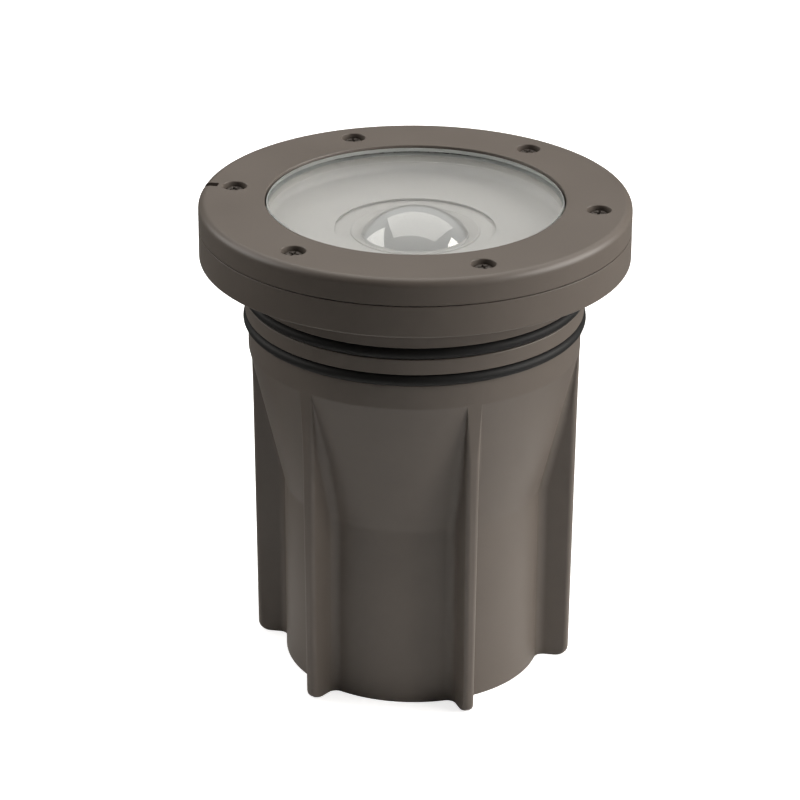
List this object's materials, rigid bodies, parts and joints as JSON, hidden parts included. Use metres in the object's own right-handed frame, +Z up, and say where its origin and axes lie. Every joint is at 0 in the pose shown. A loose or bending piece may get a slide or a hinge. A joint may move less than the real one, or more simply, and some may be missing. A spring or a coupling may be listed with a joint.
{
  "type": "in-ground well light",
  "caption": "Finned cylindrical in-ground well light with a screwed trim ring over glass and an adjustable lamp head.",
  "frame": {"origin": "centre of the face that the light stands on", "axes": "+Z up along the can's axis; fins and screws at 0, 60, 120 degrees from +X"},
  "size_m": [0.14, 0.14, 0.162],
  "materials": {
    "bronze_body": "satin powder coat, warm grey-brown bronze",
    "black_screws": "black oxide, oiled",
    "clear_glass": "clear, polished",
    "black_rubber": "smooth, slightly greasy",
    "white_moulding": "white, satin",
    "cast_aluminium": "as cast, bead blasted",
    "nylon": "natural nylon",
    "spring_steel": "phosphated spring steel",
    "plated_steel": "zinc plated",
    "board_white": "white solder mask on aluminium",
    "phosphor": "yellow phosphor under silicone",
    "pad_grey": "soft silicone pad",
    "black_plastic": "moulded nylon, fine texture",
    "potting_resin": "poured resin"
  },
  "bodies": {
    "can": {"housing": "bronze_body", "trim_ring": "bronze_body", "trim_screws": "black_screws", "glass_lens": "clear_glass", "upper_lens_gasket": "black_rubber", "lower_lens_gasket": "black_rubber", "upper_o_ring": "black_rubber", "lower_o_ring": "black_rubber", "reflector_tray": "white_moulding", "thrust_washer": "nylon", "retaining_clip": "spring_steel", "driver_shelf": "plated_steel", "shelf_screws": "plated_steel", "driver_case": "black_plastic", "driver_potting": "potting_resin", "driver_screws": "plated_steel", "gland_body": "black_plastic", "gland_washer": "black_rubber", "gland_locknut": "black_plastic", "gland_seal": "black_rubber", "gland_nut": "black_plastic"},
    "swivel": {"swivel_ring": "cast_aluminium", "pivot_washers": "nylon"},
    "lamp_head": {"aiming_cup": "white_moulding", "dome_optic": "clear_glass", "optic_bezel": "white_moulding", "led_board": "board_white", "led_emitter": "phosphor", "thermal_pad": "pad_grey", "board_screws": "plated_steel", "heat_sink": "cast_aluminium", "heat_sink_screws": "plated_steel", "pivot_screws": "plated_steel"}
  },
  "joints": [
    {"name": "swivel_turn", "type": "hinge", "parent": "can", "child": "swivel", "pos_m": [0, 0, 0.129], "axis": [0, 0, 1], "range_deg": [-174, 174]},
    {"name": "head_tilt", "type": "hinge", "parent": "swivel", "child": "lamp_head", "pos_m": [0, 0, 0.129], "axis": [1, 0, 0], "range_deg": [-15, 15]}
  ]
}
